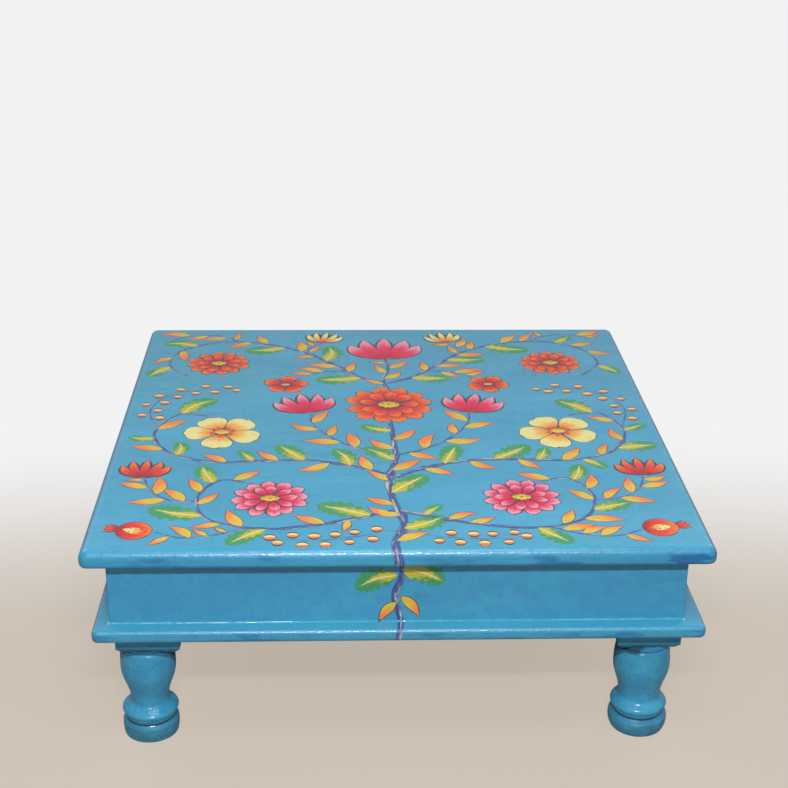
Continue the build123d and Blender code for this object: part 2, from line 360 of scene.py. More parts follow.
def blue_ground(finish, ground, place, along, green, edge, upright, clouded):
    """Colour and bump height of the brushed blue paint.

    along stretches the marks the way the brush moved, green is how much sea green is in the
    blue, edge is 1 on the edges, where dark paint was rubbed on, upright is 1 on their upright
    part, where it was left in smears, and clouded is how strongly indigo clouds show.
    """
    streaked = finish.stretch(place, along)

    def marks(wavelength, shift, detail=2.0, roughness=0.5, vector=streaked):
        """Noise of that wavelength in metres, shifted so that no two are alike."""
        scale = 1.0 / wavelength
        return finish.noise(finish.stretch(vector, (scale, scale, scale), shift), 1.0, detail, roughness)

    tint = marks(0.24, (3.1, 7.7, 1.3))
    cloud = marks(0.075, (0.0, 0.0, 0.0), 3.0, 0.6)
    smudge = marks(0.020, (5.0, 1.0, 9.0), 3.0, 0.55)
    dash = marks(0.0065, (2.0, 4.0, 6.0), 2.0, 0.6)
    patch = marks(0.11, (2.0, 8.0, 4.0), 1.0, 0.5, place)
    dragged = marks(0.012, (7.0, 3.0, 2.0), 2.0, 0.55)
    rag = marks(0.060, (1.0, 5.0, 8.0), 1.0)
    speck = marks(0.0026, (1.0, 6.0, 3.0), 1.0, 0.5, place)
    hairs = marks(ground.hair_width, (0.0, 0.0, 0.0), 2.0, 0.6)
    indigo = marks(0.012, (4.0, 9.0, 2.0), 4.0, 0.7, place)
    smeared = dragged.ramp(0.47, 0.60) * rag.ramp(0.40, 0.54) * upright * 0.50 + edge * 0.20
    coats = (
        (cloud.ramp(0.46, 0.74) * 0.65, ground.milk),
        (cloud.ramp(0.52, 0.30) * 0.16, ground.deep),
        (smudge.ramp(0.56, 0.72) * patch.ramp(0.34, 0.60) * 0.30, ground.deep),
        (dash.ramp(0.60, 0.70) * patch.ramp(0.42, 0.60) * 0.42, ground.deep),
        (hairs.ramp(0.52, 0.75) * 0.12, ground.deep),
        (indigo.ramp(0.42, 0.60) * clouded, ground.indigo),
        (smeared, ground.smear),
        (speck.ramp(0.735, 0.77) * 0.45, ground.smear),
    )
    colour = finish.mix(tint.ramp(0.30, 0.75) * 0.6 + green, ground.sky, ground.sea)
    for thickness, paint in coats:
        colour = finish.mix(thickness, colour, paint)
    return colour, hairs * 0.4 + smudge * 0.35 + dash * 0.25


def painted_board(name, scene, along, green=0.0, edge=None, hidden=None, soil_and_shade=None, clouded=0.1):
    """Blue paint under varnish, greener low on the table, and bare wood where hidden is above 0."""
    ground = scene.bajot_ground
    finish = Finish(name)
    place = finish.place()
    x, y, z = finish.split(place)
    # On the left and right faces the marks run along y.
    sideways = abs(finish.facing()[0]).ramp(0.6, 0.8)
    turned = finish.join(x + (y - x) * sideways, y + (x - y) * sideways, z)
    rubbed, upright = edge(x, y, z) if edge else (0.0, 0.0)
    green = z.ramp(MOULDING_HIGH.z + 16 * MM, MOULDING_HIGH.z) * 0.6 + green
    colour, height = blue_ground(finish, ground, turned, along, green, rubbed, upright, clouded)
    roughness = ground.gloss + height * 0.10
    pooled = finish.noise(finish.stretch(turned, (190.0, 420.0, 420.0)), 1.0, 3.0, 0.75)
    varnish = pooled.ramp(0.44, 0.58)
    if edge:
        ripple = finish.noise(finish.stretch(turned, (140.0, 330.0, 330.0)), 1.0, 2.0, 0.6)
        lumpy = rubbed.below(0.8)
        roughness = roughness - lumpy * ripple.ramp(0.42, 0.58) * 0.20
        height = height + (ripple - 0.5) * lumpy * 6.0
        varnish = varnish * (1.0 - lumpy * 0.45)
    if soil_and_shade:
        wander = finish.noise(finish.stretch(place, (1.0, 1.0, 2.0)), 90.0, 4.0, 0.65) - 0.5
        # The legs give the trodden dirt, the grooves with sooty dirt and painted shade, and the painted
        # shadow, painted shade and stained patches.
        trodden, groove, shade_and_stain = soil_and_shade(x, y, z, wander * 9 * MM)
        rubbed_in = trodden * finish.noise(place, 70.0, 4.0, 0.7).ramp(0.15, 0.75)
        dirt = rubbed_in.above(groove)
        colour = finish.mix(rubbed_in, colour, ground.grime)
        # Grooves, painted shadow, painted shade and stained patches all take the dark colour.
        colour = finish.mix((groove * 0.85).above(shade_and_stain * 0.80), colour, ground.shade_and_soot)
        varnish = finish.noise(place, 420.0, 2.0, 0.6).ramp(0.32, 0.52) * (1.0 - dirt)
        roughness = roughness + dirt * 0.2 + 0.14
        finish.surface(Specular_IOR_Level=0.15)
    if hidden:
        timber, grain = bare_wood(finish, scene.bajot_wood, place)
        waver = finish.noise(place, 60.0) * 12 * MM - 6 * MM
        bare = hidden(x, y, z, waver).ramp(-0.5 * MM, 0.5 * MM)
        colour = finish.mix(bare, colour, timber)
        height = height + (grain - height) * bare
        roughness = roughness + bare * 0.3
        varnish = varnish * (1.0 - bare)
    return finish.surface(
        Base_Color=colour,
        Roughness=roughness,
        Coat_Weight=varnish * 0.55,
        Coat_Roughness=ground.varnish,
        Normal=finish.bump(height, 0.25 * MM, 0.4),
    )


def wood_finish(name, wood, along):
    """Planed wood with no finish on it."""
    finish = Finish(name)
    colour, height = bare_wood(finish, wood, finish.place(), along)
    return finish.surface(Base_Color=colour, Roughness=0.6, Normal=finish.bump(height, 0.2 * MM, 0.4))


def zinc_finish(metal):
    """Dull zinc plating."""
    finish = Finish("zinc_plating")
    spangle = finish.noise(finish.place(), 600.0, 3.0)
    return finish.surface(
        Base_Color=finish.mix(spangle, metal.zinc, (0.42, 0.42, 0.43)),
        Metallic=1.0,
        Roughness=0.28 + spangle * 0.15,
        Normal=finish.bump(spangle, 0.05 * MM, 0.3),
    )


# ---- Pieces ----


def coat(material, *starts):
    """Gives the material to every CAD node whose name starts with one of these."""
    for name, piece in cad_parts.items():
        if name.startswith(starts):
            piece.data.materials.clear()
            piece.data.materials.append(material)


def add_piece(mesh, material):
    """Puts a mesh on the table as a piece that stays with it."""
    mesh.materials.append(material)
    piece = bpy.data.objects.new(mesh.name, mesh)
    bpy.context.scene.collection.objects.link(piece)
    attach(piece, "root")


def ring_mesh(name, sections):
    """A closed ring through its sections, each with as many points as the others."""
    size = len(sections[0])
    faces = []
    for start in range(0, len(sections) * size, size):
        ahead = (start + size) % (len(sections) * size)
        for edge in range(size):
            side = (edge + 1) % size
            faces.append((start + side, ahead + side, ahead + edge, start + edge))
    mesh = bpy.data.meshes.new(name)
    mesh.from_pydata([point for section in sections for point in section], [], faces)
    return mesh


# ---- Where the marks of the brush lie ----


class Profile:
    """The outline of a face and its edge from the side: straight and curved steps, one after another."""

    def __init__(self, out, up, slope, steps):
        self.out, self.up, self.slope, self.steps = out, up, slope, steps

    def at(self, distance):
        """How far out and up the outline is after that distance, and the way the surface faces there."""
        out, up, slope = self.out, self.up, self.slope
        for run, turn in self.steps:
            part = min(distance, run)
            angle = turn * part / run
            if turn:
                radius = run / turn
                out += radius * (math.sin(slope + angle) - math.sin(slope))
                up -= radius * (math.cos(slope + angle) - math.cos(slope))
            else:
                out += part * math.cos(slope)
                up += part * math.sin(slope)
            slope += angle
            distance -= part
            if distance <= 0.0:
                break
        return out, up, (-math.sin(slope), math.cos(slope))


def turned_through(radius, quarter_turns):
    """A curved step of that radius. A negative turn is to the right."""
    angle = quarter_turns * math.pi / 2
    return radius * abs(angle), angle


class TopSheet:
    """The top and its edge, as one sheet that is bent down over every side. y is 0 at the middle."""

    def __init__(self):
        self.flat = TOP_HALF - TOP_UPPER_ROUND
        edge = TOP_HIGH.z - TOP_LOW.z - TOP_UPPER_ROUND - TOP_LOWER_ROUND
        bends = [turned_through(TOP_UPPER_ROUND, -1), (edge, 0.0), turned_through(TOP_LOWER_ROUND, -1)]
        self.profile = Profile(self.flat, TOP_HIGH.z, 0.0, bends)

    def lay(self, spot):
        """The point on the table and the way it faces there."""
        over = [abs(part) - self.flat for part in spot]
        if max(over) <= 0.0:
            return Vector((spot[0], spot[1], TOP_HIGH.z)), Vector((0.0, 0.0, 1.0))
        axis = over.index(max(over))
        way = math.copysign(1.0, spot[axis])
        out, up, (facing_out, facing_up) = self.profile.at(over[axis])
        point, facing = Vector((spot[0], spot[1], up)), Vector((0.0, 0.0, facing_up))
        point[axis], facing[axis] = out * way, facing_out * way
        return point, facing


class FrontSheet:
    """The front apron and the moulding under it, as one sheet. y is 0 under the top and falls downward."""

    def __init__(self):
        drop = TOP_LOW.z - MOULDING_HIGH.z
        shelf = -MOULDING_LOW.y - APRON_HALF
        edge = MOULDING_HIGH.z - MOULDING_LOW.z - MOULDING_UPPER_ROUND - MOULDING_LOWER_ROUND
        steps = [
            (drop - BEAD_RADIUS, 0.0),
            turned_through(BEAD_RADIUS, 1),
            (shelf - BEAD_RADIUS - MOULDING_UPPER_ROUND, 0.0),
            turned_through(MOULDING_UPPER_ROUND, -1),
            (edge, 0.0),
            turned_through(MOULDING_LOWER_ROUND, -1),
        ]
        self.profile = Profile(APRON_HALF, TOP_LOW.z, -math.pi / 2, steps)

    def lay(self, spot):
        """The point on the table and the way it faces there."""
        out, up, (facing_out, facing_up) = self.profile.at(max(0.0, -spot[1]))
        return Vector((spot[0], -out, up)), Vector((0.0, -facing_out, facing_up))


def bent(points, gap):
    """A smooth line through the points, as places that far apart."""
    line = [2 * points[0] - points[1], *points, 2 * points[-1] - points[-2]]
    places = [points[0].copy()]
    for before, start, end, after in zip(line, line[1:], line[2:], line[3:]):
        pieces = max(2, round((end - start).length / gap))
        for piece in range(1, pieces + 1):
            t = piece / pieces
            pull = 2 * before - 5 * start + 4 * end - after
            drag = 3 * (start - end) + after - before
            places.append(0.5 * (2 * start + (end - before) * t + pull * t**2 + drag * t**3))
    return places


def heading(angle):
    """The direction at an angle in degrees, counted from +x towards +y."""
    return Vector((math.cos(math.radians(angle)), math.sin(math.radians(angle))))


class Film:
    """Marks of one paint, gathered into one mesh. Each mark is a thin skin of paint, closed underneath."""

    SINK = 0.12 * MM
    THIN_EDGE = 0.6
    SHARP = math.radians(40)

    def __init__(self):
        self.points, self.faces, self.across, self.tones = [], [], [], []

    def mark(self, sheet, spine, width, lift, tone, columns=4, lean=0.0, turns=1.0):
        """One mark along a spine. width gives its half-width at t along it, on the side of s."""
        first, stride, last = len(self.points), columns + 1, len(spine) - 1
        for height in (lift, -self.SINK):
            for row, centre in enumerate(spine):
                t = row / last
                ahead = (spine[min(row + 1, last)] - spine[max(row - 1, 0)]).normalized()
                aside = Vector((-ahead.y, ahead.x))
                for column in range(stride):
                    s = 2.0 * column / columns - 1.0
                    swept = ahead * (lean * s * s * math.sin(math.pi * t))
                    point, facing = sheet.lay(centre + aside * (s * width(t, s)) + swept)
                    rise = height * (1.0 - self.THIN_EDGE * s**4) if height > 0.0 else height
                    self.points.append(point + facing * rise)
                    self.across.append((t * turns, 0.5 + 0.5 * s))
                    self.tones.append(tone)
        self.close(first, stride, last)

    def close(self, first, stride, last):
        """The faces of one mark: its upper and lower skins and the rim between them."""
        under = stride * (last + 1)
        rim = []
        for row in range(last):
            for column in range(stride - 1):
                a = first + row * stride + column
                b, c, d = a + 1, a + 1 + stride, a + stride
                self.faces += [(a, d, c, b), (a + under, b + under, c + under, d + under)]
            rim += [(row * stride, (row + 1) * stride), ((row + 2) * stride - 1, (row + 1) * stride - 1)]
        for column in range(stride - 1):
            rim += [(column + 1, column), (last * stride + column, last * stride + column + 1)]
        self.faces += [(first + a, first + a + under, first + b + under, first + b) for a, b in rim]

    def build(self, name, material, slot):
        """The mesh as a piece of the table."""
        mesh = bpy.data.meshes.new(name)
        mesh.from_pydata(self.points, [], self.faces)
        layer = mesh.uv_layers.new(name="mark")
        corners = [0] * len(mesh.loops)
        mesh.loops.foreach_get("vertex_index", corners)
        layer.data.foreach_set("uv", [part for corner in corners for part in self.across[corner]])
        mesh.attributes.new("tone", "FLOAT", "POINT").data.foreach_set("value", self.tones)
        mesh.shade_smooth()
        mesh.set_sharp_from_angle(angle=self.SHARP)
        add_piece(mesh, material)


# ---- The painter's motifs ----


class Painter:
    """Paints motifs on one sheet of the table, each paint into its own film."""

    # How far each layer stands above the one below, and the lowest one above the ground.
    LAYER = 0.018 * MM
    GROUND_LIFT = 0.05 * MM
    # The dark lines round petals, leaves and berries, and the knots and dashes along a stem.
    LINE, LEAF_LINE, BERRY_LINE = 0.85 * MM, 0.80 * MM, 1.1 * MM
    KNOT_GAP, KNOT_WIDTH = 35 * MM, 5.5 * MM
    DASH_LENGTH = 10 * MM
    # What is left clear along the edge of the top, and how often a leaf is tried in one place.
    MARGIN = 12 * MM
    TRIES = 8

    # The discs that cover a leaf, each a place along it and a radius, as parts of its length.
    REACH = {
        "green": ((0.25, 0.16), (0.5, 0.27), (0.8, 0.22), (1.0, 0.08)),
        "amber": ((0.25, 0.11), (0.5, 0.18), (0.8, 0.14), (1.0, 0.06)),
    }

    def __init__(self, sheet, seed):
        self.sheet = sheet
        self.chance = random.Random(seed)
        self.films = {}
        self.taken = []

    def film(self, paint):
        """The film of that paint, begun where there is none yet."""
        return self.films.setdefault(paint, Film())

    def lift(self, layer):
        """How far a layer stands above the ground."""
        return self.GROUND_LIFT + self.LAYER * layer

    def free(self, discs, own=None):
        """Whether nothing is painted yet where these discs lie, not counting the stem that carries them."""
        return all(
            (spot - other).length >= radius + other_radius
            for spot, radius in discs
            for other, other_radius, owner in self.taken
            if owner is None or owner != own
        )

    def take(self, discs, owner=None):
        """Keeps other marks off these discs."""
        self.taken += [(spot.copy(), radius, owner) for spot, radius in discs]

    def dab(self, paint, spine, width, layer, lean=0.0, columns=4):
        """One mark with no outline."""
        tone = self.chance.random()
        self.film(paint).mark(self.sheet, spine, width, self.lift(layer), tone, columns, lean)

    def outlined(self, paint, spine, width, layer, line=LINE):
        """One mark with a dark line round it."""
        start = spine[0] + (spine[0] - spine[1]).normalized() * line * 0.6
        end = spine[-1] + (spine[-1] - spine[-2]).normalized() * line

        def wider(t, s):
            return width(t, s) + line * math.sin(math.pi * t) ** 0.3

        self.dab("outline", [start, *spine[1:-1], end], wider, layer)
        self.dab(paint, spine, width, layer + 1)

    def stem(self, points, root, tip, name, gap=2.5 * MM):
        """A stem that tapers from its root to its tip, with a knot here and there."""
        spine = bent([Vector(point) * MM for point in points], gap)
        run = len(spine) * gap
        knots = [self.chance.uniform(0.05, 0.95) for _ in range(int(run / self.KNOT_GAP))]

        def width(t, s):
            swell = sum(0.35 * math.exp(-(((t - knot) * run / self.KNOT_WIDTH) ** 2)) for knot in knots)
            return (root + (tip - root) * t) * MM * (1.0 + swell)

        tone = self.chance.random()
        turns = run / self.DASH_LENGTH
        self.film("stem").mark(self.sheet, spine, width, self.lift(0), tone, turns=turns)
        self.take([(spot, root * MM + 0.5 * MM) for spot in spine[::3]], name)
        return spine

    def disc(self, paint, centre, radius, layer, line=LINE):
        """A round spot with a dark line round it."""
        spine = [centre + Vector((radius * -math.cos(math.pi * step / 10), 0.0)) for step in range(11)]

        def width(t, s):
            return radius * max(0.02, math.sin(math.pi * t))

        self.outlined(paint, spine, width, layer, line=line)

    def petal(self, paint, root, way, size, breadth, layer, curl=0.0, blunt=0.55, full=0.62):
        """A petal from its root, in a direction in degrees. A low blunt makes it round, and full is where
        it is widest.
        """
        along, aside = heading(way), heading(way + 90)
        middle = root + along * size * 0.55 + aside * curl * size
        spine = bent([root, middle, root + along * size + aside * curl * size * 0.4], size / 9)
        power = math.log(0.5) / math.log(full)

        def width(t, s):
            return breadth * max(0.03, math.sin(math.pi * t**power)) ** blunt

        self.outlined(paint, spine, width, layer)

    def rosette(self, paint, centre, way, radius, layer=2):
        """A round flower with two rings of petals round a heart."""
        start = way + self.chance.uniform(0, 360)
        petals = 9 + round(radius / MM / 15)
        for ring, (inner, outer, count) in enumerate(((0.30, 1.0, petals), (0.16, 0.70, petals - 3))):
            step = 360 / count
            breadth = math.radians(step) * radius * outer * 0.40
            for number in (*range(0, count, 2), *range(1, count, 2)):
                way = start + ring * step / 2 + number * step + self.chance.uniform(-3, 3)
                size = radius * (outer - inner) * self.chance.uniform(0.94, 1.04)
                root = centre + heading(way) * radius * inner
                curl = self.chance.uniform(-0.05, 0.05)
                self.petal(paint, root, way, size, breadth, layer + ring * 4 + number % 2 * 2, curl)
        self.disc("heart", centre, radius * 0.24, layer + 8)
        self.seeds(centre, start, 9, radius * 0.165, radius * 0.028, layer + 10)
        self.seeds(centre, 0, 1, 0.0, radius * 0.045, layer + 10)
        self.take([(centre, radius * 1.06)])

    def blossom(self, paint, centre, way, radius, layer=2):
        """A small open flower of five broad petals."""
        start = way + self.chance.uniform(0, 360)
        for number in range(5):
            way = start + number * 72 + self.chance.uniform(-4, 4)
            size = radius * 0.9 * self.chance.uniform(0.93, 1.05)
            root = centre + heading(way) * radius * 0.12
            self.petal(paint, root, way, size, radius * 0.40, layer + number % 2 * 2, 0.0, 0.45, 0.66)
        self.disc("heart", centre, radius * 0.20, layer + 6)
        self.seeds(centre, 20, 6, radius * 0.30, radius * 0.035, layer + 7)
        self.take([(centre, radius * 1.05)])

    def seeds(self, centre, start, count, out, radius, layer):
        """A circle of small dark spots, the first of them in the direction of start."""
        for number in range(count):
            self.disc("seed", centre + heading(start + number * 360 / count) * out, radius, layer, 0.0)

    def tulip(self, paint, root, way, size, layer=2):
        """A cup of upright petals seen from the side, on two small sepals."""
        for side in (-1, 1):
            self.leaf(root, way + side * 62, size * 0.5, "sepal", layer)
        fan = ((-40, 0.92, 0.16), (40, 0.92, 0.16), (-20, 1.0, 0.10), (20, 1.0, 0.10), (0, 1.02, 0.0))
        for order, (angle, share_of_size, curl) in enumerate(fan):
            bend = curl if angle > 0 else -curl
            depth = layer + 2 + 2 * ((order + 1) // 2)
            self.petal(paint, root, way + angle, size * share_of_size, size * 0.17, depth, bend, 0.60, 0.55)
        self.take([(root + heading(way) * size * 0.5, size * 0.6)])

    def pomegranate(self, paint, root, way, size, layer=2):
        """A round fruit with a crown, split open over its seeds."""
        along, aside = heading(way) * size, heading(way + 90) * size
        crown = root + along * 0.66
        for angle in (-24, 24, 0):
            self.petal(paint, crown, way + angle, size * 0.36, size * 0.07, layer, 0.0, 0.8, 0.4)
        centre = root + along * 0.36
        self.disc(paint, centre, size * 0.37, layer + 3)

        def width(t, s):
            return size * 0.19 * max(0.05, math.sin(math.pi * t)) ** 0.8

        self.outlined("cream", [centre + along * (step / 10 - 0.27) for step in range(6)], width, layer + 5)
        for up in (-0.14, -0.03, 0.08):
            for side in (-0.06, 0.06):
                self.disc("seed", centre + along * up + aside * side, size * 0.025, layer + 7, 0.0)
        self.take([(root + along * 0.5, size * 0.62)])

    def leaf(self, root, way, size, kind, layer=0, curl=0.0):
        """One leaf. A green one has a scalloped edge, an amber one a plain edge and a dark line round it."""
        along, aside = heading(way), heading(way + 90)
        middle = root + along * size * 0.5 + aside * curl * size
        end = root + along * size - aside * curl * size * 0.6
        if kind == "green":
            phase = self.chance.random() * 0.3

            def width(t, s):
                tooth = 1.0 - abs(math.sin(math.pi * (t * 6 + phase + 0.15 * s)))
                return size * 0.27 * max(0.02, math.sin(math.pi * t**0.70)) ** 0.70 * (0.76 + 0.42 * tooth)

            self.dab("green", bent([root, middle, end], size / 36), width, layer, size * 0.20, 6)
        else:
            broad = {"amber": 0.175, "sepal": 0.20}[kind]

            def width(t, s):
                return size * broad * max(0.02, math.sin(math.pi * t**0.8)) ** 0.95

            paint = "green" if kind == "sepal" else "amber"
            self.outlined(paint, bent([root, middle, end], size / 10), width, layer, line=self.LEAF_LINE)

    def leaves(self, spine, name, kinds, gap, sizes, skip=(0.08, 0.94)):
        """Leaves by turns on both sides of a stem, wherever the ground is free."""
        run = 0.0
        side = 1 if self.chance.random() < 0.5 else -1
        due = gap * MM * 0.5
        count = 0
        for index in range(1, len(spine) - 1):
            run += (spine[index] - spine[index - 1]).length
            t = index / len(spine)
            if run < due or not skip[0] < t < skip[1]:
                continue
            ahead = spine[index + 1] - spine[index - 1]
            way = math.degrees(math.atan2(ahead.y, ahead.x))
            kind = kinds[count % len(kinds)]
            for attempt in range(self.TRIES):
                hand = side if attempt % 2 == 0 else -side
                size = self.chance.uniform(*sizes[kind]) * MM * (1.0 - 0.06 * attempt)
                angle = way + hand * (self.chance.uniform(34, 52) + attempt * 4)
                root = spine[index] + heading(angle) * 1.2 * MM
                along = heading(angle) * size
                reach = [(root + along * part, size * wide) for part, wide in self.REACH[kind]]
                farthest = max(max(abs(spot.x), abs(spot.y)) for spot, _ in reach)
                inside = farthest < TOP_HALF - self.MARGIN
                if inside and self.free(reach, name) and self.free(reach[1:]):
                    self.leaf(root, angle, size, kind, 0, hand * self.chance.uniform(-0.04, 0.09))
                    self.take(reach)
                    side = -hand
                    due = run + gap * MM * self.chance.uniform(0.85, 1.15)
                    count += 1
                    break
            else:
                due = run + gap * MM * 0.3

    def berries(self, points, count, radius):
        """A twig with berries by turns on both sides."""
        name = f"berries{len(self.taken)}"
        spine = self.stem(points, 0.8, 0.5, name)
        for number in range(count):
            t = 0.15 + 0.85 * number / (count - 1)
            index = min(len(spine) - 2, int(t * (len(spine) - 1)))
            ahead = (spine[index + 1] - spine[index]).normalized()
            side = 0.0 if number == count - 1 else (1.0 if number % 2 else -1.0)
            spot = spine[index] + Vector((-ahead.y, ahead.x)) * side * radius * 1.6 * MM
            size = radius * MM * self.chance.uniform(0.88, 1.08)
            if self.free([(spot, size)], name):
                self.disc("berry", spot, size, 2, self.BERRY_LINE)
                self.take([(spot, size * 1.3)])


# ---- Paints of the flowers ----


class MarkPaint(Finish):
    """A paint of the marks. Its colours follow the place along and across a mark, and the mark's tone."""

    def __init__(self, name, hairs, pull=1.0):
        super().__init__(name)
        self.along, self.across, _ = self.split(self.node("ShaderNodeUVMap", {"uv_map": "mark"}))
        self.off = abs(self.across * 2.0 - 1.0)
        self.tone = self.node("ShaderNodeAttribute", {"attribute_name": "tone"}, output="Fac")
        combed = self.join(self.along * (1.6 * pull), self.across * hairs, self.tone * 40.0)
        self.hair = self.noise(combed, 1.0, 2.0, 0.6)

    def dried(self, ground, colour, dullness=0.06, relief=0.12 * MM, strength=0.5):
        """The finished paint in that colour, with the marks of the brush's hairs."""
        hairs = self.bump(self.hair, relief, strength)
        return self.surface(Base_Color=colour, Roughness=ground.gloss + dullness, Normal=hairs)


def flower_paint(name, ground, root, middle, tip, start=0.15, end=0.95):
    """Paint blended along each petal, from its root to its tip, in visible strokes."""
    paint = MarkPaint(name, 9.0)
    place = paint.along + (paint.hair - 0.5) * 0.55 + paint.off * 0.12
    half = (start + end) / 2
    colour = paint.mix(place.ramp(start, half), root, middle)
    colour = paint.mix(place.ramp(half, end), colour, tip)
    return paint.dried(ground, paint.mix(paint.hair.ramp(0.58, 0.75) * 0.35, colour, root))


def green_paint(ground):
    """Green leaves: a dark rim washed into a yellow middle, with a pale midrib and thin side veins."""
    paint = MarkPaint("green_leaves", 8.0, 1.5)
    along, off, hair, tone = paint.along, paint.off, paint.hair, paint.tone
    wash = off * 0.85 + (along - 0.35) * 0.75 + (hair - 0.5) * 0.9 + (tone - 0.5) * 0.2
    colour = paint.mix(wash.ramp(0.25, 0.60), (0.56, 0.48, 0.030), (0.045, 0.300, 0.110))
    phase = (along * 7.0 - off * 1.3 + tone).fract()
    side_vein = phase.ramp(0.10, 0.0) * off.ramp(0.80, 0.55) * along.ramp(0.9, 0.7)
    colour = paint.mix(side_vein * 0.55, colour, (0.05, 0.16, 0.07))
    midrib = off.ramp(0.11, 0.05) * along.ramp(0.88, 0.78)
    return paint.dried(ground, paint.mix(midrib * 0.9, colour, (0.78, 0.74, 0.42)))


def amber_paint(ground):
    """Amber leaves: ochre at the root, orange at the tip, with dark hairlines at the root."""
    paint = MarkPaint("amber_leaves", 7.0)
    along, across, tone = paint.along, paint.across, paint.tone
    place = along + (paint.hair - 0.5) * 0.5 + (across - 0.5) * 0.35 + (tone - 0.5) * 0.3
    colour = paint.mix(place.ramp(0.20, 0.75), (0.75, 0.52, 0.055), (0.86, 0.235, 0.055))
    line = abs((across * 5.0 + tone).fract() - 0.5).ramp(0.10, 0.03)
    line = line * along.ramp(0.50, 0.30) * paint.off.ramp(0.6, 0.4) * 0.65
    return paint.dried(ground, paint.mix(line, colour, (0.10, 0.05, 0.03)))


def stem_paint(ground):
    """Navy stems with short cream dashes along their upper side."""
    paint = MarkPaint("stems", 5.0, 0.6)
    across, hair = paint.across, paint.hair
    dash = paint.noise(paint.join(paint.along * 0.55, across * 2.2, paint.tone * 30.0), 1.0, 4.0, 0.7)
    light = dash.ramp(0.49, 0.55) * (across + (hair - 0.5) * 0.5).ramp(0.42, 0.60) * across.ramp(0.97, 0.86)
    colour = paint.mix(hair.ramp(0.35, 0.65), (0.035, 0.060, 0.205), (0.080, 0.135, 0.360))
    return paint.dried(ground, paint.mix(light * 0.85, colour, (0.55, 0.56, 0.42)), 0.05)


def spot_paint(name, ground, low, high):
    """Round spots, blended from one side to the other."""
    paint = MarkPaint(name, 5.0)
    side = paint.across + (paint.hair - 0.5) * 0.4
    return paint.dried(ground, paint.mix(side.ramp(0.35, 0.65), low, high), 0.05, 0.10 * MM, 0.4)


def flower_palette(ground):
    """Every paint of the flowers, by its name."""
    cream, yellow, orange = (0.82, 0.76, 0.30), (0.80, 0.55, 0.04), (0.88, 0.20, 0.03)
    red, crimson, pink = (0.74, 0.035, 0.020), (0.56, 0.006, 0.040), (0.84, 0.34, 0.46)
    peach = (0.86, 0.42, 0.08)
    return {
        "stem": stem_paint(ground),
        "green": green_paint(ground),
        "amber": amber_paint(ground),
        "red": flower_paint("red_petals", ground, (0.36, 0.008, 0.012), red, orange),
        "pink": flower_paint("pink_petals", ground, crimson, (0.76, 0.022, 0.095), pink),
        "cream": flower_paint("cream_petals", ground, (0.72, 0.050, 0.020), peach, cream, 0.10, 0.70),
        "outline": spot_paint("outlines", ground, (0.045, 0.040, 0.075), (0.07, 0.05, 0.07)),
        "berry": spot_paint("berries", ground, orange, cream),
        "heart": spot_paint("flower_hearts", ground, yellow, (0.70, 0.40, 0.04)),
        "seed": spot_paint("seeds", ground, (0.22, 0.035, 0.03), (0.30, 0.05, 0.03)),
    }


# ---- Operators ----


class BAJOT_OT_paint_ground(bpy.types.Operator):
    """Paint the planks, apron, moulding, pads and legs blue, and varnish them"""

    bl_idname = "bajot.paint_ground"
    bl_label = "Blue Ground"

    def execute(self, context):
        scene = context.scene
        streak, turned = (0.30, 1.0, 1.0), (0.6, 0.6, 1.0)
        coat(painted_board("painted_top", scene, streak, 0.45, top_edge, under_top), "top_plank")
        coat(painted_board("painted_apron", scene, streak, hidden=inside_apron, clouded=0.40), "apron_")
        coat(painted_board("painted_moulding", scene, streak, edge=moulding_edge), "moulding_")
        coat(painted_board("painted_legs", scene, turned, soil_and_shade=worn_and_shaded_leg, clouded=0.60), "leg_", "pad_")
        return {"FINISHED"}


class BAJOT_OT_bare_wood(bpy.types.Operator):
    """Finish the battens, glue blocks, dowels, splines and wedges as planed wood"""

    bl_idname = "bajot.bare_wood"
    bl_label = "Bare Wood"

    def execute(self, context):
        wood = context.scene.bajot_wood
        coat(wood_finish("batten_wood", wood, "y"), "batten_left", "batten_right")
        coat(wood_finish("block_wood", wood, "z"), "corner_block", "leg_wedges", "mitre_splines")
        coat(wood_finish("dowel_wood", wood, "y"), "top_dowels")
        return {"FINISHED"}


class BAJOT_OT_metal(bpy.types.Operator):
    """Plate the screws and pins with zinc"""

    bl_idname = "bajot.metal"
    bl_label = "Screws and Pins"

    def execute(self, context):
        zinc = zinc_finish(context.scene.bajot_metal)
        coat(zinc, "batten_screws", "corner_block_screws", "moulding_screws", "pad_screws", "apron_pins")
        return {"FINISHED"}


